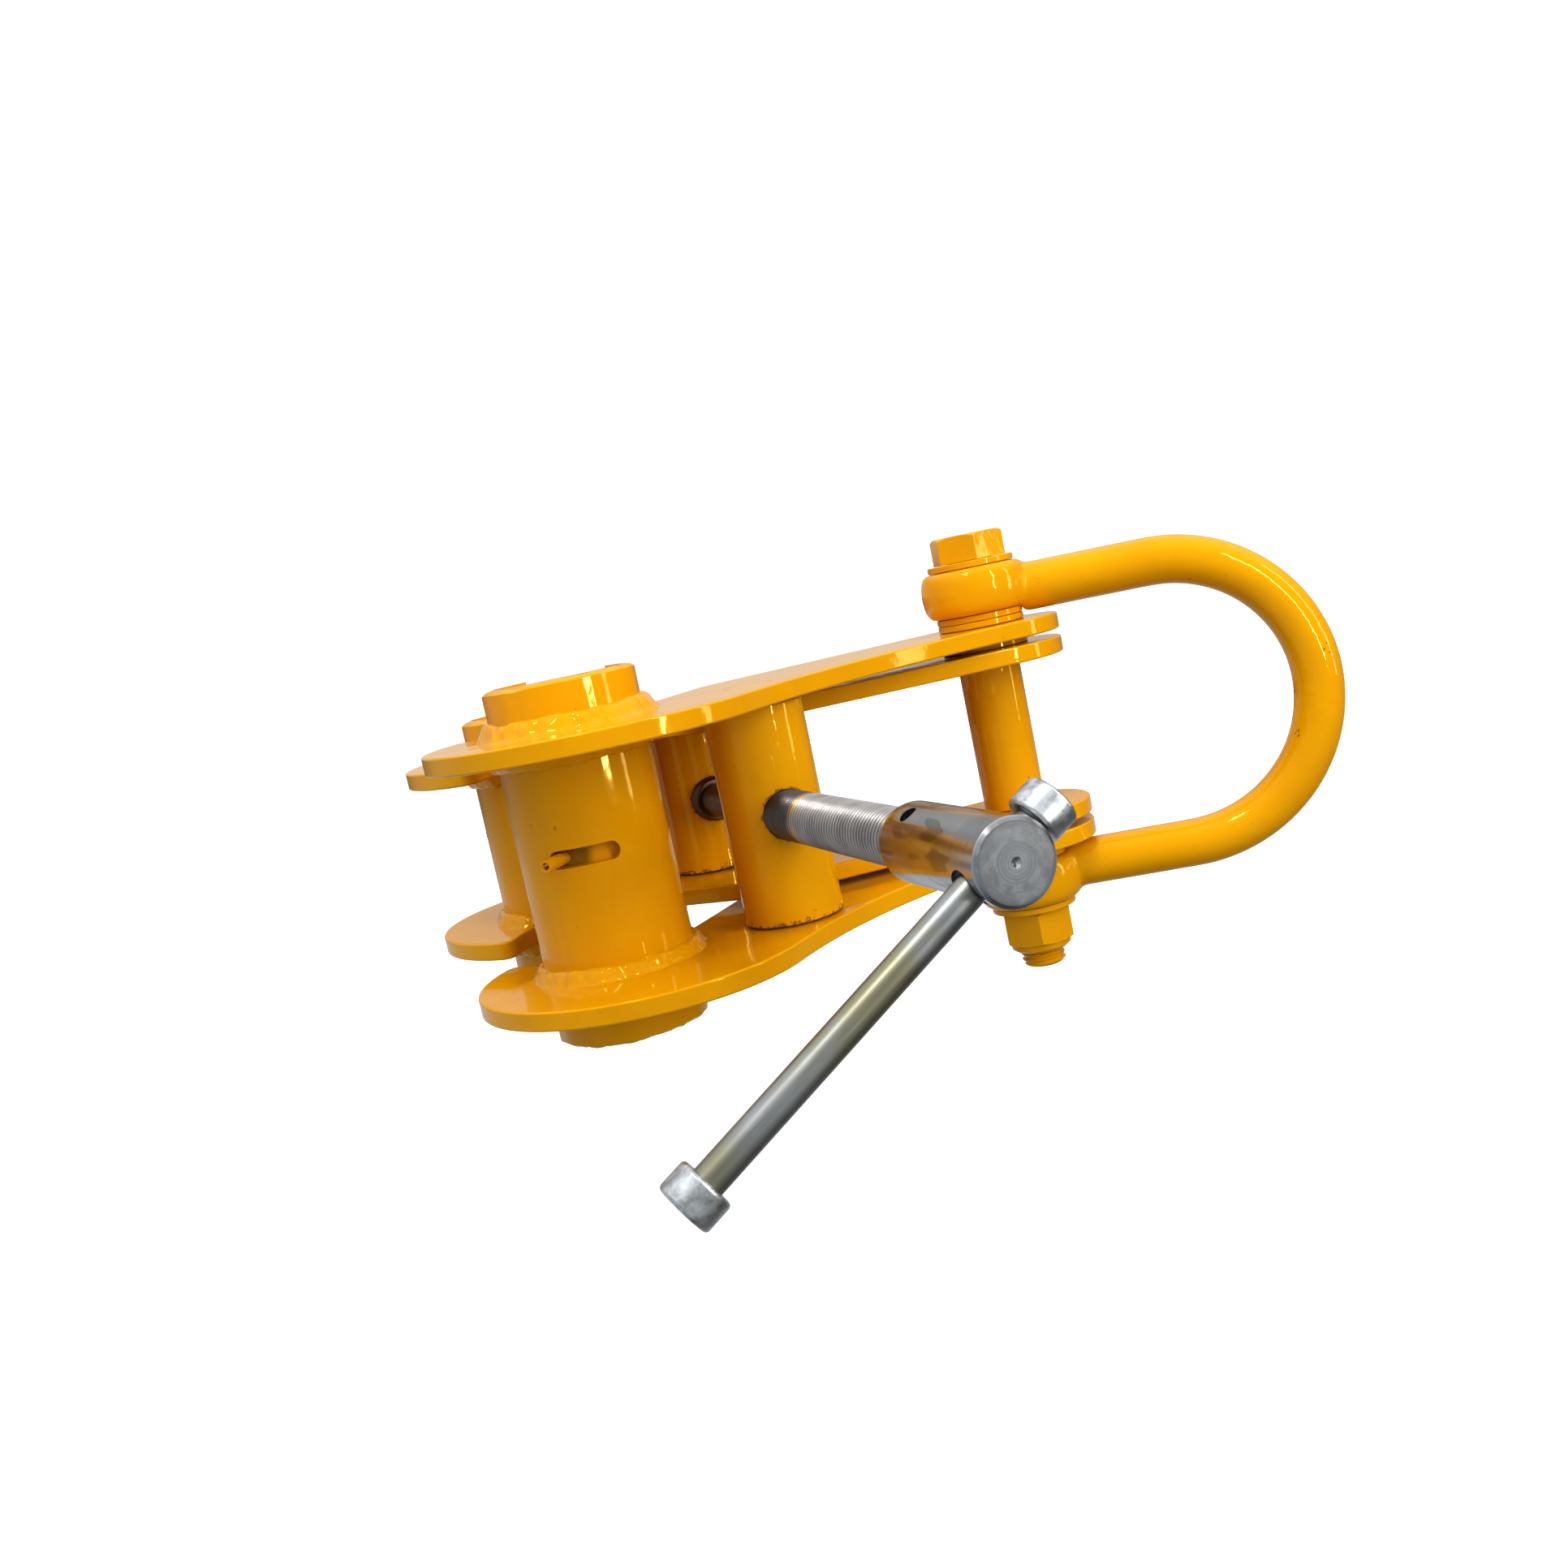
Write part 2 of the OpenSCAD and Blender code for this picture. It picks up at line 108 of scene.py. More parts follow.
class ClampColours(bpy.types.PropertyGroup):
    """Colours of the clamp's finishes, in linear light."""

    paint: bpy.props.FloatVectorProperty(
        name="Paint", description="Amber-yellow paint",
        size=3, subtype="COLOR", default=(0.70, 0.318, 0.0005))
    paint_deep: bpy.props.FloatVectorProperty(
        name="Thick paint", description="Paint where it has run thick",
        size=3, subtype="COLOR", default=(0.62, 0.265, 0.0005))
    chip: bpy.props.FloatVectorProperty(
        name="Chips", description="Primer and steel in paint chips, and dark dust",
        size=3, subtype="COLOR", default=(0.06, 0.045, 0.03))
    bright: bpy.props.FloatVectorProperty(
        name="Bright steel", description="Turned steel",
        size=3, subtype="COLOR", default=(0.50, 0.505, 0.51))
    thread: bpy.props.FloatVectorProperty(
        name="Thread steel", description="Cut thread, wiped clean",
        size=3, subtype="COLOR", default=(0.47, 0.46, 0.45))
    # Dark grease on the steel, also used for the painted shade in the thread's valleys
    grease_and_shade: bpy.props.FloatVectorProperty(
        name="Oily steel", description="Steel under dark grease",
        size=3, subtype="COLOR", default=(0.075, 0.065, 0.058))
    zinc: bpy.props.FloatVectorProperty(
        name="Zinc", description="Clear zinc plating",
        size=3, subtype="COLOR", default=(0.37, 0.38, 0.38))
    zinc_yellow: bpy.props.FloatVectorProperty(
        name="Zinc cast", description="Yellow cast on the zinc",
        size=3, subtype="COLOR", default=(0.31, 0.285, 0.16))


class ClampStudio(bpy.types.PropertyGroup):
    """The studio round the clamp."""

    floor_drop: bpy.props.FloatProperty(
        name="Floor", description="Height of the floor below the jaws", default=0.62, unit="LENGTH")
    camera_place: bpy.props.FloatVectorProperty(
        name="Camera", description="Where the camera stands",
        size=3, subtype="TRANSLATION", default=(0.6181, 0.0830, 0.1051))
    camera_aim: bpy.props.FloatVectorProperty(
        name="Aim", description="Point the camera looks at",
        size=3, subtype="TRANSLATION", default=(0.0, 0.00275, -0.09542))
    camera_roll: bpy.props.FloatProperty(
        name="Roll", description="Camera roll about its line of sight",
        default=math.radians(-104.06), subtype="ANGLE")
    lens: bpy.props.FloatProperty(
        name="Lens", description="Focal length on a 36 mm sensor, in millimetres", default=34.21)


def sizes():
    """The sizes a user can change."""
    return bpy.context.scene.clamp_sizes


def colours():
    """The colours a user can change."""
    return bpy.context.scene.clamp_colours


def studio():
    """The studio settings a user can change."""
    return bpy.context.scene.clamp_studio


# ---------------------------------------------------------------- meshes


def corner_normals(bm, smooth_angle):
    """A normal for every face corner.

    Flats stay flat, curves stay round, and each rounded edge runs from one to the other.
    """
    tag = bm.faces.layers.int.get("rounded")
    alike = math.cos(math.radians(smooth_angle))
    nearby = math.cos(math.radians(60))
    bm.normal_update()
    found = []
    for face in bm.faces:
        for corner in face.loops:
            around = list(corner.vert.link_loops)
            main = [c for c in around if tag is None or not c.face[tag]]
            lead = face.normal
            if main and tag is not None and face[tag]:
                lead = max(main, key=lambda c: c.face.normal.dot(face.normal)).face.normal
            group = [c for c in (main or around) if c.face.normal.dot(lead) > (alike if main else nearby)]
            total = Vector()
            for c in group:
                total += c.face.normal * c.calc_angle()
            found.append(total.normalized() if total.length > 1e-9 else face.normal.copy())
    return found


def new_piece(name, bm, nodes, material, smooth_angle=20):
    """Makes a mesh object from bm, in place of the given nodes and riding on their body."""
    mesh = bpy.data.meshes.new(name)
    bmesh.ops.recalc_face_normals(bm, faces=bm.faces)
    normals = corner_normals(bm, smooth_angle)
    bm.to_mesh(mesh)
    bm.free()
    if not mesh.polygons:
        raise RuntimeError(f"{name} came out empty")
    mesh.polygons.foreach_set("use_smooth", [True] * len(mesh.polygons))
    mesh.normals_split_custom_set(normals)
    obj = bpy.data.objects.new(name, mesh)
    bpy.context.scene.collection.objects.link(obj)
    mesh.materials.append(material)
    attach(obj, BODY_OF[nodes[0]])
    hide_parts(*nodes)
    return obj


def cad_copy(*nodes):
    """A clean bmesh of CAD nodes: joined corners, flat faces in one piece."""
    bm = bmesh.new()
    for n in nodes:
        bm.from_mesh(NODES[n].data)
    bmesh.ops.remove_doubles(bm, verts=bm.verts, dist=2e-6)
    bmesh.ops.dissolve_limit(bm, angle_limit=math.radians(0.4), verts=bm.verts, edges=bm.edges)
    return bm


def round_edges(bm, width, segments=2, sharper_than=38, among=None):
    """Rounds every edge that turns more than the angle, or only those among the given ones."""
    limit = math.radians(sharper_than)
    tag = bm.faces.layers.int.get("rounded") or bm.faces.layers.int.new("rounded")
    sharp = [e for e in (among or bm.edges) if len(e.link_faces) == 2 and e.calc_face_angle(0) > limit]
    made = bmesh.ops.bevel(
        bm, geom=sharp, offset=width, segments=segments, profile=0.5, affect="EDGES", clamp_overlap=True)
    for face in made["faces"]:
        if face.is_valid:
            face[tag] = 1
    bmesh.ops.remove_doubles(bm, verts=bm.verts, dist=1e-6)
    return bm


def rounded_node(node, width, material, segments=2, sharper_than=38):
    """The CAD node with its edges rounded, as a piece of its own."""
    bm = round_edges(cad_copy(node), width, segments, sharper_than)
    return new_piece("finished_" + node, bm, [node], material)


def skin_rows(bm, rows):
    """Quads between closed rows of points. Each row is a list of vertices of one length."""
    count = len(rows[0])
    for a, b in zip(rows, rows[1:]):
        for i in range(count):
            j = (i + 1) % count
            bm.faces.new([a[i], a[j], b[j], b[i]])


def along(axis):
    """Matrix that takes +Z to the given axis."""
    return Vector((0, 0, 1)).rotation_difference(Vector(axis)).to_matrix().to_4x4()


# One thread turn: place along the turn, and height, as shares of the pitch and the depth
THREAD_PROFILE = ((0.0, 0.0), (0.10, 0.0), (0.42, 1.0), (0.58, 1.0), (0.90, 0.0))
THREAD_STEPS = 56
THREAD_LEAD_IN = 1.4 * MM
THREAD_ROOT = 1.15  # depth at the tapered ends, as a share of the thread's depth
JOIN = 3e-7  # points closer than this are one


def helix(bm, start, axis, length, crest_r, depth, pitch, right_hand=True, bore_r=0.0):
    """A cut thread on a rod from start, along axis, with tapered ends and a bore if one is given."""
    per_turn = len(THREAD_PROFILE)
    turns = int(math.ceil(length / pitch)) + 2
    hand = 1 if right_hand else -1
    root = depth * THREAD_ROOT
    place = Matrix.Translation(start) @ along(axis)

    def point(r, angle, z):
        return bm.verts.new(place @ Vector((r * math.cos(angle), r * math.sin(angle), z)))

    def ring(r, z):
        return [point(r, 2 * math.pi * i / THREAD_STEPS, z) for i in range(THREAD_STEPS)]

    columns = []
    for i in range(THREAD_STEPS):
        share = i / THREAD_STEPS
        column = []
        for k in range(-1, turns):
            for at, rise in THREAD_PROFILE:
                z = min(max((k + at + hand * share) * pitch, 0.0), length)
                edge = min(z, length - z)
                r = min(crest_r - depth * (1 - rise), crest_r - root + edge / THREAD_LEAD_IN * root)
                column.append(point(r, 2 * math.pi * share, z))
        columns.append(column)
    for i in range(THREAD_STEPS):
        a = columns[i]
        b = columns[(i + 1) % THREAD_STEPS]
        shift = 0 if i < THREAD_STEPS - 1 else hand * per_turn
        for j in range(len(a) - 1):
            j2 = j + shift
            if 0 <= j2 < len(b) - 1:
                bm.faces.new([a[j], b[j2], b[j2 + 1], a[j + 1]])
    bmesh.ops.remove_doubles(bm, verts=bm.verts, dist=JOIN)
    bmesh.ops.dissolve_degenerate(bm, edges=bm.edges, dist=2e-7)

    rims = [ring(crest_r - root, z) for z in (0.0, length)]
    if bore_r:
        bores = [ring(bore_r, z) for z in (0.0, length)]
        skin_rows(bm, [rims[0], bores[0], bores[1], rims[1]])
    else:
        for rim in rims:
            bm.faces.new(rim)
    bmesh.ops.remove_doubles(bm, verts=bm.verts, dist=JOIN)
    return bm


def wobble(angle, seed, scale=3.0):
    """Smooth repeatable variation round a ring, from -1 to 1."""
    return noise.noise(Vector((math.cos(angle) * scale, math.sin(angle) * scale, seed * 7.31)))


BEAD_STEP = 0.8  # degrees between a bead's sections
BEAD_ACROSS = 10  # steps across a bead
BEAD_END = 7.0  # degrees over which a bead tapers at each end
BEAD_RIPPLE = math.radians(8.0)  # angle from one ripple to the next
BEAD_INTO_TUBE = 0.4 * MM  # how far a bead's root lies inside the tube
BEAD_INTO_PLATE = 0.2 * MM  # how far a bead's foot lies inside the plate


def bead(bm, centre, face_y, up, tube_r, leg, start, stop, seed, mirror=1):
    """A rippled weld fillet round a tube, on a plate's face, between two directions in degrees."""
    steps = int((stop - start) / BEAD_STEP)
    ripple = sizes().weld_ripple

    def point(radius, angle, y):
        x = centre.x + mirror * radius * math.cos(angle)
        return bm.verts.new((x, y, centre.z + radius * math.sin(angle)))

    rows = []
    for i in range(steps + 1):
        share = i / steps
        a = math.radians(start + (stop - start) * share)
        end = min(share, 1 - share) * (stop - start)
        taper = 0.55 + 0.45 * min(1.0, end / BEAD_END)
        reach = leg * taper * (0.86 + 0.16 * wobble(a, seed, 4.0) + 0.10 * wobble(a, seed + 3, 9.0))
        height = leg * taper * (0.88 + 0.14 * wobble(a, seed + 1, 2.5) + 0.06 * wobble(a, seed + 2, 8.0))
        rough = 0.35 + 0.65 * max(0.0, min(1.0, 0.5 + 1.6 * wobble(a, seed + 9, 1.7)))
        row = []
        for j in range(BEAD_ACROSS + 1):
            t = j / BEAD_ACROSS
            bow = (t - 0.5) ** 2 * 0.12
            wave = math.sin((a - bow) * 2 * math.pi / BEAD_RIPPLE + 4.0 * wobble(a, seed + 5, 3.0))
            long_lump = 0.13 * wobble(a + 0.5 * t, seed + 7, 5.5)
            short_lump = 0.07 * wobble(a - 0.3 * t, seed + 8, 13.0)
            lift = (ripple * wave * rough + leg * (long_lump + short_lump)) * math.sin(math.pi * t)
            r = reach * (1 - t) + lift * 0.5 * (1 - t)
            h = height * (0.5 + 0.5 * math.cos(math.pi * (1 - t) ** 1.3)) + lift * 0.8
            radius = tube_r + min(r, leg) - (BEAD_INTO_TUBE if j == BEAD_ACROSS else 0.0)
            rise = max(0.0, min(h, leg)) if j else -BEAD_INTO_PLATE
            row.append(point(radius, a, face_y + up * rise))
        row.append(point(tube_r - BEAD_INTO_TUBE, a, face_y - up * BEAD_INTO_PLATE))
        rows.append(row)
    skin_rows(bm, rows)
    bm.faces.new(rows[0])
    bm.faces.new(list(reversed(rows[-1])))
    return bm


# ---------------------------------------------------------------- finishes


def nodes_of(name):
    """A new material with an empty Principled shader: material, node tree, shader."""
    material = bpy.data.materials.new(name)
    material.use_nodes = True
    tree = material.node_tree
    tree.nodes.clear()
    out = tree.nodes.new("ShaderNodeOutputMaterial")
    shader = tree.nodes.new("ShaderNodeBsdfPrincipled")
    tree.links.new(shader.outputs["BSDF"], out.inputs["Surface"])
    return material, tree, shader


def noise_field(tree, vector, scale, detail=4.0, rough=0.55):
    """Cloudy noise from 0 to 1."""
    node = tree.nodes.new("ShaderNodeTexNoise")
    node.inputs["Scale"].default_value = scale
    node.inputs["Detail"].default_value = detail
    node.inputs["Roughness"].default_value = rough
    tree.links.new(vector, node.inputs["Vector"])
    return node.outputs["Fac"]


def spread(tree, value, low, high, to_low=0.0, to_high=1.0):
    """Stretches a value from one range to another, clamped."""
    node = tree.nodes.new("ShaderNodeMapRange")
    node.clamp = True
    for name, number in (("From Min", low), ("From Max", high), ("To Min", to_low), ("To Max", to_high)):
        node.inputs[name].default_value = number
    tree.links.new(value, node.inputs["Value"])
    return node.outputs["Result"]


def blend_colours(tree, share, a, b):
    """Mixes two colours, each a socket or a plain colour."""
    node = tree.nodes.new("ShaderNodeMix")
    node.data_type = "RGBA"
    tree.links.new(share, node.inputs["Factor"])
    for socket, value in ((node.inputs["A"], a), (node.inputs["B"], b)):
        if isinstance(value, bpy.types.NodeSocket):
            tree.links.new(value, socket)
        else:
            socket.default_value = (*value, 1.0)
    return node.outputs["Result"]


def sums(tree, operation, a, b):
    """Joins two values, each a socket or a number, by a Math node's operation."""
    node = tree.nodes.new("ShaderNodeMath")
    node.operation = operation
    for socket, value in zip(node.inputs, (a, b)):
        if isinstance(value, bpy.types.NodeSocket):
            tree.links.new(value, socket)
        else:
            socket.default_value = value
    return node.outputs["Value"]


def bump(tree, shader, heights):
    """Chains bumps, each (height socket, strength, distance), onto the shader's normal."""
    last = None
    for height, strength, distance in heights:
        node = tree.nodes.new("ShaderNodeBump")
        node.inputs["Strength"].default_value = strength
        node.inputs["Distance"].default_value = distance
        tree.links.new(height, node.inputs["Height"])
        if last is not None:
            tree.links.new(last, node.inputs["Normal"])
        last = node.outputs["Normal"]
    tree.links.new(last, shader.inputs["Normal"])


def object_place(tree):
    """The place on the piece, which at rest is the place in the row frame."""
    return tree.nodes.new("ShaderNodeTexCoord").outputs["Object"]


def split_axes(tree, vector):
    """The X, Y and Z of a vector."""
    node = tree.nodes.new("ShaderNodeSeparateXYZ")
    tree.links.new(vector, node.inputs["Vector"])
    return node.outputs["X"], node.outputs["Y"], node.outputs["Z"]


def stretched(tree, vector, scale):
    """The vector scaled along each axis."""
    node = tree.nodes.new("ShaderNodeMapping")
    node.inputs["Scale"].default_value = scale
    tree.links.new(vector, node.inputs["Vector"])
    return node.outputs["Vector"]


def near_marks(tree, place, marks, full=0.2, most=0.56):
    """Rises towards any of the marks, each (place, reach), and is 0 away from them."""
    share = None
    for at, reach in marks:
        gap = tree.nodes.new("ShaderNodeVectorMath")
        gap.operation = "DISTANCE"
        tree.links.new(place, gap.inputs[0])
        gap.inputs[1].default_value = at
        one = spread(tree, gap.outputs["Value"], full * reach, reach, most, 0.0)
        share = one if share is None else sums(tree, "MAXIMUM", share, one)
    return share


def dirt_on_barrel(tree, place, colour, dark, arm):
    """Grease round the screw's entry, and dark dust and a dark seam where the barrel meets the plates."""
    height = split_axes(tree, place)[1]
    ragged = noise_field(tree, place, 420.0, 4.0, 0.6)
    from_screw = turned_place(tree, place)[1]
    hole_r = radius_of("screw_near_thread")
    ring = spread(tree, from_screw, hole_r + 0.1 * MM, hole_r + 2.2 * MM, 0.66, 0.24)
    ring = spread(tree, sums(tree, "SUBTRACT", ring, ragged), 0.0, 0.16, 0.0, 0.7)
    lower_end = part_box(arm + "_plate_bottom")[1].y
    above = sums(tree, "SUBTRACT", height, lower_end)
    dust = spread(tree, above, 0.4 * MM, 5 * MM, 0.58, 0.26)
    dust = spread(tree, sums(tree, "SUBTRACT", dust, ragged), 0.0, 0.06, 0.0, 0.7)
    dust = sums(tree, "MULTIPLY", dust, spread(tree, above, -0.1 * MM, 0.1 * MM))
    past_end = sums(tree, "ADD", sums(tree, "ABSOLUTE", height, 0.0), lower_end)
    seam = spread(tree, sums(tree, "ABSOLUTE", past_end, 0.0), 0.5 * MM, 0.8 * MM, 0.95, 0.0)
    dirt = sums(tree, "MAXIMUM", sums(tree, "MAXIMUM", ring, dust), seam)
    return blend_colours(tree, dirt, colour, dark)


# Colour of the painted shade on the jaw bars inside the tubes' slots
SLOT_SHADE_COLOUR = (0.09, 0.05, 0.002)
PAINT_GLOSS_TINT = (1.0, 0.80, 0.22, 1.0)


def paint_finish(name, peel=0.05, chips=0.5, barrel_of=None, slots=(), marks=()):
    """Thick gloss paint with orange peel, deeper colour in patches, dust nibs and a few chips."""
    material, tree, shader = nodes_of(name)
    c = colours()
    place = object_place(tree)
    broad = spread(tree, noise_field(tree, place, 22.0, 3.0), 0.40, 0.66)
    colour = blend_colours(tree, sums(tree, "MULTIPLY", broad, 0.55), tuple(c.paint), tuple(c.paint_deep))
    speck = spread(tree, noise_field(tree, place, 420.0, 2.0, 0.4), 0.735, 0.765)
    where = spread(tree, noise_field(tree, place, 30.0, 2.0), 0.52, 0.62)
    specks = sums(tree, "MULTIPLY", sums(tree, "MULTIPLY", speck, where), chips)
    colour = blend_colours(tree, specks, colour, tuple(c.chip))
    if marks:
        ragged = noise_field(tree, place, 420.0, 4.0, 0.65)
        worn = sums(tree, "SUBTRACT", near_marks(tree, place, marks), ragged)
        colour = blend_colours(tree, spread(tree, worn, 0.02, 0.12, 0.0, 0.9), colour, tuple(c.chip))
    if barrel_of:
        colour = dirt_on_barrel(tree, place, colour, tuple(c.chip), barrel_of)
    # Painted shade: the jaw bar is darkened where it lies under a tube's slot
    if slots:
        shaded = near_marks(tree, place, slots, 0.8, 0.75)
        colour = blend_colours(tree, shaded, colour, SLOT_SHADE_COLOUR)
    tree.links.new(colour, shader.inputs["Base Color"])
    rough = spread(tree, noise_field(tree, place, 55.0, 3.0), 0.3, 0.7, 0.045, 0.085)
    tree.links.new(rough, shader.inputs["Roughness"])
    shader.inputs["IOR"].default_value = 1.5
    shader.inputs["Specular IOR Level"].default_value = 0.55
    shader.inputs["Specular Tint"].default_value = PAINT_GLOSS_TINT
    bump(tree, shader, [
        (noise_field(tree, place, 260.0, 2.0, 0.5), peel, 0.0010),
        (noise_field(tree, place, 48.0, 2.0, 0.5), peel * 1.2, 0.0040),
    ])
    return material


def turned_place(tree, place):
    """The place along the screw, and how far it is from the screw's axis."""
    x, y, z = split_axes(tree, place)
    from_axis = tree.nodes.new("ShaderNodeCombineXYZ")
    tree.links.new(y, from_axis.inputs["Y"])
    tree.links.new(sums(tree, "SUBTRACT", z, SCREW_Z), from_axis.inputs["Z"])
    reach = tree.nodes.new("ShaderNodeVectorMath")
    reach.operation = "LENGTH"
    tree.links.new(from_axis.outputs["Vector"], reach.inputs[0])
    return x, reach.outputs["Value"]


def lathe_place(tree, place):
    """Coordinates that change only along the screw and away from its axis, for lathe marks."""
    marks = tree.nodes.new("ShaderNodeCombineXYZ")
    for socket, value in zip(marks.inputs, turned_place(tree, place)):
        tree.links.new(value, socket)
    return marks.outputs["Vector"]


def bar_place(tree, place):
    """Coordinates stretched along the tommy bar, for long streaks."""
    axis = Vector(JOINTS["tommy_bar_slide"]["axis"])
    side = Vector((1, 0, 0))
    parts = []
    for direction, scale in ((axis, 0.06), (side, 1.0), (axis.cross(side), 1.0)):
        dot = tree.nodes.new("ShaderNodeVectorMath")
        dot.operation = "DOT_PRODUCT"
        tree.links.new(place, dot.inputs[0])
        dot.inputs[1].default_value = direction * scale
        parts.append(dot.outputs["Value"])
    joined = tree.nodes.new("ShaderNodeCombineXYZ")
    for socket, value in zip(joined.inputs, parts):
        tree.links.new(value, socket)
    return joined.outputs["Vector"]


def bare_steel(
        name, base, dark, dirt_share, rough, grain=None, line_depth=0.12, dirt_scale=70.0, pit_share=0.5):
    """Bare machined steel: tool lines, smudges and pits. grain gives the tool lines' coordinates."""
    material, tree, shader = nodes_of(name)
    place = object_place(tree)
    lines = grain(tree, place) if grain else place
    tool = noise_field(tree, lines, 1100.0, 3.0, 0.6)
    smudge = spread(tree, noise_field(tree, place, dirt_scale, 3.0, 0.55), 0.44, 0.68)
    pits = spread(tree, noise_field(tree, place, 480.0, 2.0, 0.4), 0.72, 0.78)
    colour = blend_colours(tree, sums(tree, "MULTIPLY", smudge, dirt_share), base, dark)
    colour = blend_colours(tree, sums(tree, "MULTIPLY", pits, pit_share), colour, dark)
    tree.links.new(colour, shader.inputs["Base Color"])
    tree.links.new(spread(tree, tool, 0.3, 0.7, *rough), shader.inputs["Roughness"])
    shader.inputs["Metallic"].default_value = 1.0
    bump(tree, shader, [(tool, line_depth, 0.0004)])
    return material, tree, shader, colour, place


# Painted shade inside the slots of the jaw tubes: place on the jaw bar, and reach in metres
SLOT_SHADE = tuple(((side * 0.0597, 0.0055, 0.0192), 0.0165) for side in (1, -1))

# Worn spots: place in the row frame, and reach in metres
PLATE_MARKS = (((0.0385, 0.0500, -0.1330), 0.0030), ((0.1134, 0.0470, 0.0250), 0.0030))
SHACKLE_MARKS = (
    ((0.0480, 0.0520, -0.2840), 0.0060), ((0.0505, 0.0500, -0.2890), 0.0050),
    ((0.0560, 0.0285, -0.3120), 0.0060), ((0.0590, 0.0060, -0.3190), 0.0070),
    ((0.0605, -0.0042, -0.3202), 0.0080), ((0.0637, -0.0235, -0.3151), 0.0070))

# Places along the screw at rest: the grease thins out to its end, with a ring of old paint near it
GREASE_THINS = 94 * MM
GREASE_END = 101 * MM
PAINT_RING = 99.5 * MM


def thread_finish():
    """Cut thread: painted shade in the valleys, grease near the barrel and a ring of old paint."""
    c = colours()
    depth = sizes().thread_depth
    material, tree, shader, colour, place = bare_steel(
        "screw_thread", tuple(c.thread), tuple(c.grease_and_shade), 0.35, (0.28, 0.42), grain=lathe_place,
        line_depth=0.03, dirt_scale=90.0)
    along_screw, from_axis = turned_place(tree, place)
    crest = radius_of("screw_near_thread")
    # Painted shade: the thread darkens towards the roots of its valleys
    valley_shade = spread(tree, from_axis, crest - 0.8 * depth, crest - 0.15 * depth, 0.95, 0.0)
    colour = blend_colours(tree, valley_shade, colour, tuple(c.grease_and_shade))
    ragged = sums(tree, "SUBTRACT", noise_field(tree, place, 160.0, 3.0), 0.5)
    reach = sums(tree, "ADD", along_screw, sums(tree, "MULTIPLY", ragged, 4 * MM))
    greasy = spread(tree, reach, GREASE_THINS, GREASE_END, 0.85, 0.0)
    colour = blend_colours(tree, greasy, colour, tuple(c.grease_and_shade))
    from_ring = sums(tree, "ABSOLUTE", sums(tree, "SUBTRACT", reach, PAINT_RING), 0.0)
    painted = spread(tree, from_ring, 0.3 * MM, 0.7 * MM, 0.9, 0.0)
    colour = blend_colours(tree, painted, colour, tuple(c.paint))
    tree.links.new(colour, shader.inputs["Base Color"])
    return material


def shank_finish():
    """Brown, greasy steel between and behind the barrels."""
    return bare_steel("screw_shank", (0.15, 0.10, 0.075), tuple(colours().grease_and_shade), 0.8, (0.34, 0.5))[0]


def head_finish():
    """Turned head: rings and a mottled rim on its end face, wiped smudges on its side."""
    material, tree, shader, colour, place = bare_steel(
        "turned_head", tuple(colours().bright), (0.22, 0.215, 0.21), 0.40, (0.16, 0.25), grain=lathe_place,
        line_depth=0.06, dirt_scale=55.0, pit_share=0.15)
    end_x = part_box("screw_head")[1].x
    head_r = radius_of("screw_head")
    along_screw, from_axis = turned_place(tree, place)
    on_face = spread(tree, along_screw, end_x - 1.2 * MM, end_x - 0.6 * MM)
    outer = spread(tree, from_axis, 0.35 * head_r, 0.95 * head_r, 0.30, 0.66)
    mottle = sums(tree, "SUBTRACT", outer, noise_field(tree, place, 260.0, 4.0, 0.7))
    mottle = spread(tree, mottle, -0.15, 0.10, 0.0, 0.6)
    rings = noise_field(tree, lathe_place(tree, place), 1300.0, 3.0, 0.6)
    rings = spread(tree, rings, 0.42, 0.58, 0.0, 0.35)
    stain = sums(tree, "MULTIPLY", on_face, sums(tree, "MAXIMUM", mottle, rings))
    colour = blend_colours(tree, stain, colour, (0.22, 0.225, 0.235))
    wiped = noise_field(tree, stretched(tree, place, (0.30, 1.0, 1.0)), 210.0, 1.0, 0.3)
    wiped = spread(tree, wiped, 0.55, 0.60, 0.0, 0.55)
    on_side = spread(tree, along_screw, end_x - 5 * MM, end_x - 7 * MM)
    colour = blend_colours(tree, sums(tree, "MULTIPLY", wiped, on_side), colour, (0.17, 0.165, 0.16))
    tree.links.new(colour, shader.inputs["Base Color"])
    return material


def zinc_finish():
    """Clear zinc on the tommy bar, with long dull streaks and a yellow cast."""
    c = colours()
    material, tree, shader, colour, place = bare_steel(
        "zinc_plate", tuple(c.zinc), (0.24, 0.25, 0.25), 0.45, (0.31, 0.42), grain=bar_place,
        line_depth=0.02, dirt_scale=60.0, pit_share=0.25)
    streaks = spread(tree, noise_field(tree, bar_place(tree, place), 190.0, 3.0), 0.46, 0.72, 0.0, 0.55)
    colour = blend_colours(tree, streaks, colour, (0.20, 0.205, 0.19))
    cast = spread(tree, noise_field(tree, place, 26.0, 3.0), 0.48, 0.66, 0.0, 0.75)
    colour = blend_colours(tree, cast, colour, tuple(c.zinc_yellow))
    tree.links.new(colour, shader.inputs["Base Color"])
    return material


def cap_finish():
    """Brighter, blotched zinc on the tommy bar's caps."""
    return bare_steel(
        "zinc_on_caps", (0.66, 0.68, 0.69), (0.20, 0.205, 0.205), 0.75, (0.26, 0.42), line_depth=0.06,
        dirt_scale=230.0, pit_share=0.7)[0]


def studio_finish():
    """Matt white of the floor, a little lit from within so that it stays pale."""
    material, _, shader = nodes_of("studio_white")
    shader.inputs["Base Color"].default_value = (0.90, 0.90, 0.90, 1)
    shader.inputs["Roughness"].default_value = 0.9
    shader.inputs["Specular IOR Level"].default_value = 0.0
    shader.inputs["Emission Color"].default_value = (1, 1, 1, 1)
    shader.inputs["Emission Strength"].default_value = 0.62
    return material


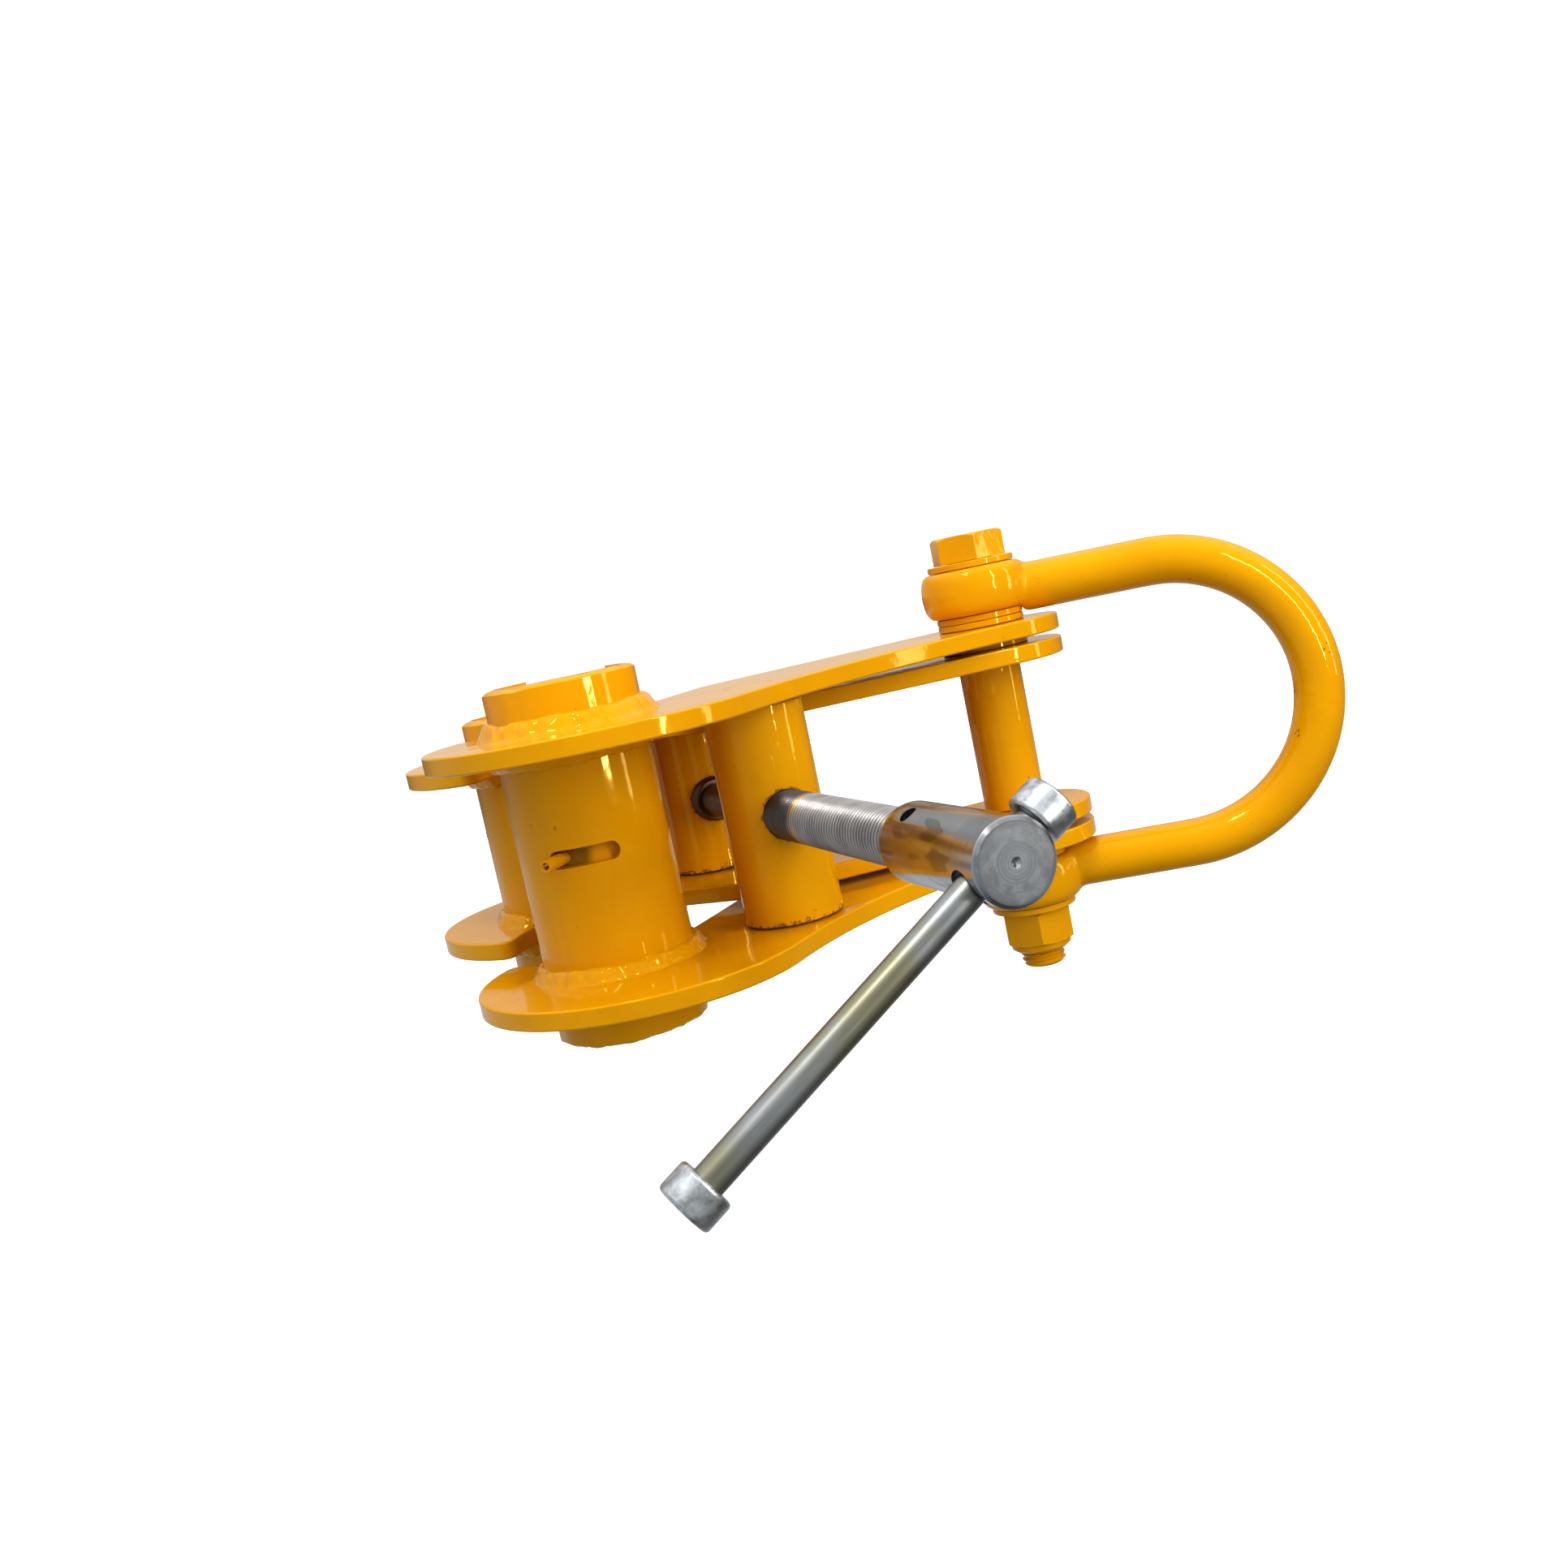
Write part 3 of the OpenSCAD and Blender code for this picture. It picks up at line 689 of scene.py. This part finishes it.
FINISHES = {
    "paint": lambda: paint_finish("gloss_paint", marks=PLATE_MARKS),
    "front_barrel_paint": lambda: paint_finish("front_barrel_paint", barrel_of="front"),
    "back_barrel_paint": lambda: paint_finish("back_barrel_paint", barrel_of="back"),
    "jaw_bar_paint": lambda: paint_finish("paint_on_jaw_bars", slots=SLOT_SHADE),
    "weld_paint": lambda: paint_finish("paint_on_weld", peel=0.10, chips=0.8),
    "forged_paint": lambda: paint_finish("paint_on_forging", peel=0.09, chips=0.7, marks=SHACKLE_MARKS),
    "thread": thread_finish,
    "shank": shank_finish,
    "head": head_finish,
    "zinc": zinc_finish,
    "cap": cap_finish,
    "studio": studio_finish,
}
MATERIALS = {}


def finish(name):
    """The named finish, made once."""
    if name not in FINISHES:
        raise RuntimeError(f"there is no finish named {name}")
    if name not in MATERIALS:
        MATERIALS[name] = FINISHES[name]()
    return MATERIALS[name]


# ---------------------------------------------------------------- pieces


class CLAMP_OT_plates(bpy.types.Operator):
    """Plates of both arms, with rounded painted edges"""

    bl_idname = "clamp.plates"
    bl_label = "Arm plates"

    def execute(self, context):
        for node in ("front_plate_top", "front_plate_bottom", "back_plate_top", "back_plate_bottom"):
            rounded_node(node, sizes().plate_round, finish("paint"), segments=3)
        return {"FINISHED"}


TUBE_R = 30.15 * MM
RIM_OUTSIDE = 27 * MM  # edges of a tube's end that lie further out are its outer rim
WALL_OUTSIDE = 26 * MM  # points of a tube that lie further out may be roughened
RIM_ROUGH = 5 * MM  # length of tube that the flame cut has roughened


class CLAMP_OT_jaws(bpy.types.Operator):
    """Jaw tubes, swivelling jaw bars and their stop pins"""

    bl_idname = "clamp.jaws"
    bl_label = "Jaws"

    def execute(self, context):
        for arm, centre in (("front", FRONT_JAW), ("back", BACK_JAW)):
            bm = cad_copy(arm + "_tube")
            round_edges(bm, 1.5 * MM, segments=4, among=self.outer_rims(bm, centre))
            round_edges(bm, 0.4 * MM)
            tube = new_piece("finished_" + arm + "_tube", bm, [arm + "_tube"], finish("paint"))
            self.roughen_rims(tube, centre)
            rounded_node(arm + "_jaw_bar", 0.5 * MM, finish("jaw_bar_paint"), sharper_than=50)
            rounded_node(arm + "_stop_pin", 0.15 * MM, finish("paint"), sharper_than=50)
        return {"FINISHED"}

    @staticmethod
    def outer_rims(bm, centre):
        """The edges round the outside of a tube's two ends."""
        reach = max(abs(v.co.y) for v in bm.verts) - 0.1 * MM
        return [e for e in bm.edges if all(
            abs(v.co.y) > reach and math.hypot(v.co.x - centre.x, v.co.z - centre.z) > RIM_OUTSIDE
            for v in e.verts)]

    @staticmethod
    def roughen_rims(tube, centre):
        """Lets the ends of a flame-cut tube wander a little, always inwards."""
        ends = [v.co.y for v in tube.data.vertices]
        low, high = min(ends), max(ends)
        for v in tube.data.vertices:
            out = Vector((v.co.x - centre.x, 0, v.co.z - centre.z))
            near = max(0.0, 1 - min(v.co.y - low, high - v.co.y) / RIM_ROUGH)
            if near and out.length > WALL_OUTSIDE:
                side = 1 if v.co.y > 0 else -1
                angle = math.atan2(out.z, out.x)
                rough = 0.5 + 0.9 * wobble(angle, 21 + side, 5.0) + 0.5 * wobble(angle, 25 + side, 13.0)
                rough = max(0.0, min(1.3, rough))
                v.co -= out.normalized() * 0.55 * MM * near * rough
                v.co.y -= side * 0.7 * MM * near * rough


OUTER_LEG = 7.3 * MM
INNER_LEG = 6.0 * MM
WELD_START, WELD_STOP = -118.5, 136.5  # degrees round the tube; the side towards the other jaw is open


class CLAMP_OT_welds(bpy.types.Operator):
    """Weld beads between the jaw tubes and the plates"""

    bl_idname = "clamp.welds"
    bl_label = "Weld beads"

    def execute(self, context):
        seed = 1
        for arm, centre, side in (("front", FRONT_JAW, 1), ("back", BACK_JAW, -1)):
            for layer, leg in (("outer", OUTER_LEG), ("inner", INNER_LEG)):
                node = f"{arm}_{layer}_welds"
                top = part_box(node)[1].y
                bm = bmesh.new()
                for end in (-1, 1):
                    face_y = end * (top - leg if layer == "outer" else top)
                    up = end if layer == "outer" else -end
                    bead(bm, centre, face_y, up, TUBE_R, leg, WELD_START, WELD_STOP, seed, side)
                    seed += 1
                new_piece("beads_" + node, bm, [node], finish("weld_paint"), smooth_angle=70)
        return {"FINISHED"}


class CLAMP_OT_barrels(bpy.types.Operator):
    """Cross barrels that carry the screw"""

    bl_idname = "clamp.barrels"
    bl_label = "Cross barrels"

    def execute(self, context):
        for arm in ("front", "back"):
            rounded_node(arm + "_barrel", 0.3 * MM, finish(arm + "_barrel_paint"))
        return {"FINISHED"}


SLEEVE_BORE_R = 5.1 * MM  # bore of both threads, which lie round the core
INTO_HEAD = 3 * MM  # length of the near thread that runs on inside the head


class CLAMP_OT_screw(bpy.types.Operator):
    """Screw with its right-hand and left-hand threads and the plain shank between"""

    bl_idname = "clamp.screw"
    bl_label = "Screw"

    def execute(self, context):
        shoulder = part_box("screw_head")[0].x + INTO_HEAD
        far_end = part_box("screw_far_thread")[1].x
        self.thread("right_hand_thread", "screw_near_thread", shoulder, "thread", True)
        self.thread("left_hand_thread", "screw_far_thread", far_end, "shank", False)
        rounded_node("screw_core", 0.4 * MM, finish("shank"))
        return {"FINISHED"}

    @staticmethod
    def thread(piece, node, end_x, steel, right_hand):
        """One thread of the screw, from its node's far end to end_x."""
        s = sizes()
        start = Vector((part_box(node)[0].x, 0, SCREW_Z))
        bm = bmesh.new()
        helix(bm, start, (1, 0, 0), end_x - start.x, radius_of(node), s.thread_depth, s.pitch,
              right_hand=right_hand, bore_r=SLEEVE_BORE_R)
        new_piece(piece, bm, [node], finish(steel), smooth_angle=24)


class CLAMP_OT_head(bpy.types.Operator):
    """Turned head of the screw, with its cross pin"""

    bl_idname = "clamp.head"
    bl_label = "Screw head"

    def execute(self, context):
        rounded_node("screw_head", 0.25 * MM, finish("head"), sharper_than=30)
        rounded_node("head_pin", 0.3 * MM, finish("shank"))
        return {"FINISHED"}


class CLAMP_OT_tommy(bpy.types.Operator):
    """Tommy bar with its two end caps"""

    bl_idname = "clamp.tommy"
    bl_label = "Tommy bar"

    def execute(self, context):
        rounded_node("tommy_bar", 0.35 * MM, finish("zinc"))
        for node in ("tommy_near_cap", "tommy_far_cap"):
            rounded_node(node, 0.5 * MM, finish("cap"))
        return {"FINISHED"}


BOLT_R = 10 * MM
BOLT_THREAD_DEPTH = 1.25 * MM
THREAD_IN_NUT = 6 * MM  # length of the bolt's cut thread that the nut hides


class CLAMP_OT_bolt(bpy.types.Operator):
    """Pivot bolt with its thread, nut, washers and spacer tube"""

    bl_idname = "clamp.bolt"
    bl_label = "Pivot bolt"

    def execute(self, context):
        s = sizes()
        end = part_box("pivot_bolt")[0].y
        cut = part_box("pivot_nut")[0].y + THREAD_IN_NUT
        bm = cad_copy("pivot_bolt")
        bmesh.ops.bisect_plane(
            bm, geom=bm.verts[:] + bm.edges[:] + bm.faces[:],
            plane_co=(0, cut, 0), plane_no=(0, -1, 0), clear_outer=True)
        bmesh.ops.holes_fill(bm, edges=[e for e in bm.edges if e.is_boundary])
        round_edges(bm, s.small_round)
        helix(bm, Vector((0, end, PIVOT.z)), (0, 1, 0), cut - end, BOLT_R, BOLT_THREAD_DEPTH, s.pitch)
        new_piece("bolt_with_thread", bm, ["pivot_bolt"], finish("paint"), smooth_angle=24)
        rounded_node("pivot_nut", s.small_round, finish("paint"), sharper_than=20)
        for node in ("bolt_washers", "eye_washers", "plate_washers", "spacer_tube"):
            rounded_node(node, s.small_round, finish("paint"))
        return {"FINISHED"}


class CLAMP_OT_shackle(bpy.types.Operator):
    """Forged shackle, with its legs blended softly into the eyes"""

    bl_idname = "clamp.shackle"
    bl_label = "Shackle"

    def execute(self, context):
        bm = cad_copy("shackle_bow")
        obj = new_piece("forged_shackle", bm, ["shackle_bow"], finish("forged_paint"))
        grid = obj.modifiers.new("grid", "REMESH")
        grid.mode = "VOXEL"
        grid.voxel_size = 1.0 * MM
        soften = obj.modifiers.new("soften", "SMOOTH")
        soften.factor = 0.6
        soften.iterations = 14
        evaluated = obj.evaluated_get(context.evaluated_depsgraph_get())
        mesh = bpy.data.meshes.new_from_object(evaluated)
        mesh.name = "forged_shackle"
        obj.modifiers.clear()
        obj.data = mesh
        mesh.polygons.foreach_set("use_smooth", [True] * len(mesh.polygons))
        return {"FINISHED"}


# ---------------------------------------------------------------- studio


def soft_light(name, place, aim, width, height, watts):
    """A rectangular white lamp at place, facing aim, unseen by the camera."""
    data = bpy.data.lights.new(name, "AREA")
    data.shape = "RECTANGLE"
    data.size = width
    data.size_y = height
    data.energy = watts
    light = bpy.data.objects.new(name, data)
    bpy.context.scene.collection.objects.link(light)
    light.location = place
    back = (Vector(place) - Vector(aim)).normalized()
    tall = (Vector((0, 1, 0)) - back * back.y) if abs(back.y) < 0.9 else Vector((0, 0, 1))
    tall.normalize()
    side = tall.cross(back)
    light.rotation_mode = "QUATERNION"
    light.rotation_quaternion = Matrix((side, tall, back)).transposed().to_quaternion()
    light.visible_camera = False
    return light


def studio_sky():
    """Soft light all round: a bright cloth along +Y, a warm wall behind, and a dimmer room."""
    world = bpy.data.worlds.new("studio_world")
    bpy.context.scene.world = world
    world.use_nodes = True
    tree = world.node_tree
    sky = tree.nodes["Background"]
    place = tree.nodes.new("ShaderNodeTexCoord").outputs["Generated"]
    x, y, z = split_axes(tree, place)
    cloth = spread(tree, y, 0.25, 0.75)
    window = spread(tree, z, 0.35, 0.85)
    behind = spread(tree, x, -0.15, -0.75)
    front = spread(tree, x, 0.45, 0.95)
    above_eye = spread(tree, y, -0.01, 0.02)
    below_cloth = spread(tree, y, 0.20, 0.40, 1.0, 0.0)
    level = sums(tree, "MULTIPLY", above_eye, below_cloth)
    colour = blend_colours(tree, window, (0.14, 0.137, 0.134), (0.46, 0.52, 0.58))
    colour = blend_colours(tree, cloth, colour, (1.00, 1.01, 1.04))
    colour = blend_colours(tree, front, colour, (0.40, 0.42, 0.43))
    colour = blend_colours(tree, sums(tree, "MULTIPLY", behind, level), colour, (0.60, 0.52, 0.44))
    low_behind = sums(tree, "MULTIPLY", behind, spread(tree, y, -0.10, -0.16))
    colour = blend_colours(tree, low_behind, colour, (0.50, 0.52, 0.54))
    tree.links.new(colour, sky.inputs["Color"])
    sky.inputs["Strength"].default_value = 1.0


def studio_sweep(drop):
    """A pale floor that curves up into a wall all round, seen by the camera alone."""
    flat, bend, wall = 2.6, 1.2, 6.0
    bend_steps = 12
    profile = [(0.02, -drop), (0.6, -drop), (1.4, -drop), (flat, -drop)]
    for i in range(1, bend_steps + 1):
        a = math.pi / 2 * i / bend_steps
        profile.append((flat + bend * math.sin(a), -drop + bend * (1 - math.cos(a))))
    profile.append((flat + bend, wall))
    bm = bmesh.new()
    around = [2 * math.pi * i / 64 for i in range(64)]
    rows = [[bm.verts.new((r * math.cos(a), r * math.sin(a), z)) for a in around] for r, z in profile]
    bm.faces.new(rows[0])
    skin_rows(bm, rows)
    bmesh.ops.recalc_face_normals(bm, faces=bm.faces)
    mesh = bpy.data.meshes.new("floor")
    bm.to_mesh(mesh)
    bm.free()
    mesh.polygons.foreach_set("use_smooth", [True] * len(mesh.polygons))
    floor = bpy.data.objects.new("floor", mesh)
    bpy.context.scene.collection.objects.link(floor)
    mesh.materials.append(finish("studio"))
    for kind in ("diffuse", "glossy", "transmission", "shadow"):
        setattr(floor, "visible_" + kind, False)


class CLAMP_OT_stage(bpy.types.Operator):
    """Pale floor, studio lights and the camera"""

    bl_idname = "clamp.stage"
    bl_label = "Studio"

    def execute(self, context):
        st = studio()
        scene = context.scene
        studio_sweep(st.floor_drop)
        studio_sky()

        middle = (0.03, 0.0, -0.08)
        soft_light("fill_above", (0.5, 1.5, 0.2), middle, 1.6, 1.6, 11).visible_glossy = False
        soft_light("fill_front", (1.9, 0.2, 0.1), middle, 1.8, 1.8, 4).visible_glossy = False
        soft_light("strip", (0.95, 0.39, -0.51), (0.04, 0.39, 0.0), 0.05, 0.86, 5.5)
        soft_light("overhead", (0.55, 1.2, 0.35), middle, 0.22, 0.22, 3.2)
        soft_light("side_strip", (0.62, 0.35, -1.05), (0.05, 0.35, -0.07), 0.12, 0.9, 2.0)

        camera = bpy.data.objects.new("camera", bpy.data.cameras.new("camera"))
        scene.collection.objects.link(camera)
        camera.location = st.camera_place
        sight = Vector(st.camera_aim) - Vector(st.camera_place)
        camera.rotation_mode = "QUATERNION"
        level = sight.to_track_quat("-Z", "Y").to_matrix()
        camera.rotation_quaternion = (level @ Matrix.Rotation(st.camera_roll, 3, "Z")).to_quaternion()
        camera.data.lens = st.lens
        camera.data.sensor_width = 36
        camera.data.clip_start = 0.01
        camera.data.clip_end = 60
        scene.camera = camera
        scene.view_settings.view_transform = "Standard"
        scene.view_settings.look = "Medium High Contrast"
        return {"FINISHED"}


OPERATORS = (
    CLAMP_OT_plates, CLAMP_OT_jaws, CLAMP_OT_welds, CLAMP_OT_barrels, CLAMP_OT_screw,
    CLAMP_OT_head, CLAMP_OT_tommy, CLAMP_OT_bolt, CLAMP_OT_shackle, CLAMP_OT_stage,
)


class CLAMP_PT_panel(bpy.types.Panel):
    """Sidebar list of the clamp's builders"""

    bl_idname = "CLAMP_PT_panel"
    bl_label = "Beam clamp"
    bl_space_type = "VIEW_3D"
    bl_region_type = "UI"
    bl_category = "Beam clamp"

    def draw(self, context):
        layout = self.layout
        for group in (context.scene.clamp_sizes, context.scene.clamp_colours, context.scene.clamp_studio):
            box = layout.box()
            for name in group.__annotations__:
                box.prop(group, name)
        for operator in OPERATORS:
            layout.operator(operator.bl_idname)


GROUPS = (("clamp_sizes", ClampSizes), ("clamp_colours", ClampColours), ("clamp_studio", ClampStudio))


def register():
    """Registers the settings, the operators and the panel."""
    for name, group in GROUPS:
        bpy.utils.register_class(group)
        setattr(bpy.types.Scene, name, bpy.props.PointerProperty(type=group))
    for cls in OPERATORS + (CLAMP_PT_panel,):
        bpy.utils.register_class(cls)


def unregister():
    """Takes away what register added."""
    for cls in reversed(OPERATORS + (CLAMP_PT_panel,)):
        bpy.utils.unregister_class(cls)
    for name, group in reversed(GROUPS):
        delattr(bpy.types.Scene, name)
        bpy.utils.unregister_class(group)


def main():
    """Builds every piece and the studio."""
    register()
    for operator in OPERATORS:
        family, name = operator.bl_idname.split(".")
        getattr(getattr(bpy.ops, family), name)()
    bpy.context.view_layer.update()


if __name__ == "__main__":
    main()
